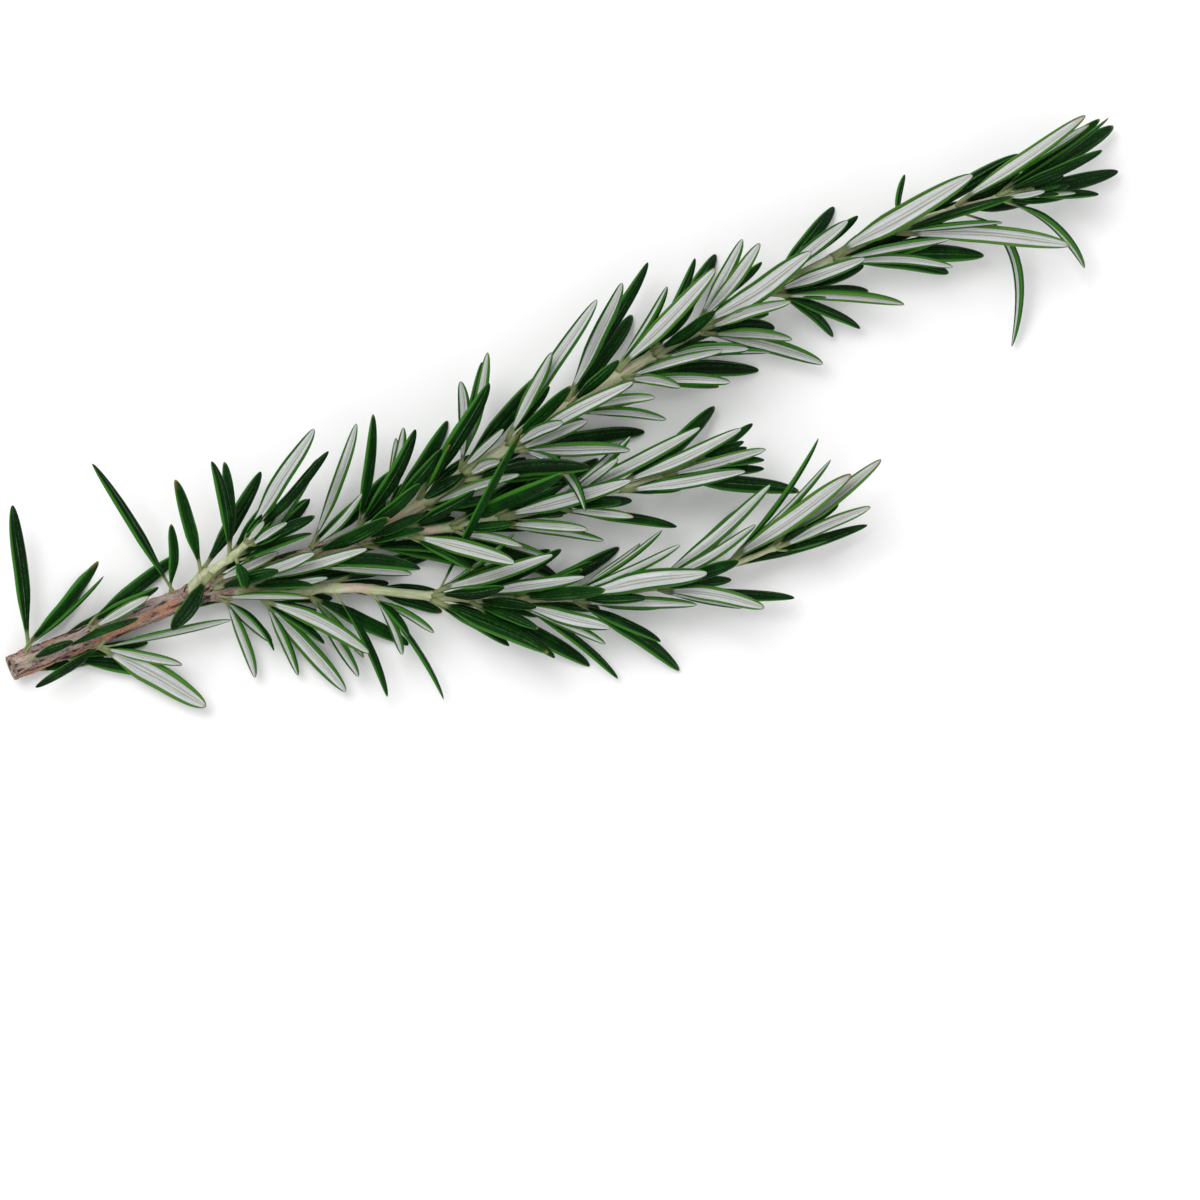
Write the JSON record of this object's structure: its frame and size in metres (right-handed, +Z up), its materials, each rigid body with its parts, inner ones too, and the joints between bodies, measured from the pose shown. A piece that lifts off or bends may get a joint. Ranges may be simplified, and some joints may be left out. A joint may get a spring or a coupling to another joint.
{
  "type": "rosemary sprig",
  "caption": "Branched cut sprig of rosemary lying flat: a woody stem with side shoots, set with whorls of narrow needle leaves, dark green above and pale below.",
  "frame": {"origin": "middle of the sprig's footprint, on the surface that it lies on", "axes": "+X along the sprig's length, from the cut end towards the tip of the leading shoot; +Y across it; +Z up from the surface"},
  "size_m": [0.247, 0.0868, 0.0285],
  "materials": {
    "stem": "matte",
    "leaf": "satin"
  },
  "bodies": {
    "root": {"stem": "stem", "leader_leaves_01": "leaf", "leader_leaves_02": "leaf", "leader_leaves_03": "leaf", "leader_leaves_04": "leaf", "leader_leaves_05": "leaf", "leader_leaves_06": "leaf", "leader_leaves_07": "leaf", "leader_leaves_08": "leaf", "leader_leaves_09": "leaf", "leader_leaves_10": "leaf", "leader_leaves_11": "leaf", "leader_leaves_12": "leaf", "leader_leaves_13": "leaf", "leader_leaves_14": "leaf", "leader_leaves_15": "leaf", "leader_leaves_16": "leaf", "leader_leaves_17": "leaf", "leader_leaves_18": "leaf", "leader_leaves_19": "leaf", "leader_leaves_20": "leaf", "leader_leaves_21": "leaf", "leader_tip_leaves": "leaf", "lower_shoot_leaves_01": "leaf", "lower_shoot_leaves_02": "leaf", "lower_shoot_leaves_03": "leaf", "lower_shoot_leaves_04": "leaf", "lower_shoot_leaves_05": "leaf", "lower_shoot_leaves_06": "leaf", "lower_shoot_leaves_07": "leaf", "lower_shoot_leaves_08": "leaf", "lower_shoot_leaves_09": "leaf", "lower_shoot_leaves_10": "leaf", "lower_shoot_tip_leaves": "leaf", "middle_shoot_leaves_01": "leaf", "middle_shoot_leaves_02": "leaf", "middle_shoot_leaves_03": "leaf", "middle_shoot_leaves_04": "leaf", "middle_shoot_leaves_05": "leaf", "middle_shoot_leaves_06": "leaf", "middle_shoot_tip_leaves": "leaf", "upper_shoot_leaves_01": "leaf", "upper_shoot_leaves_02": "leaf", "upper_shoot_tip_leaves": "leaf"}
  },
  "joints": []
}
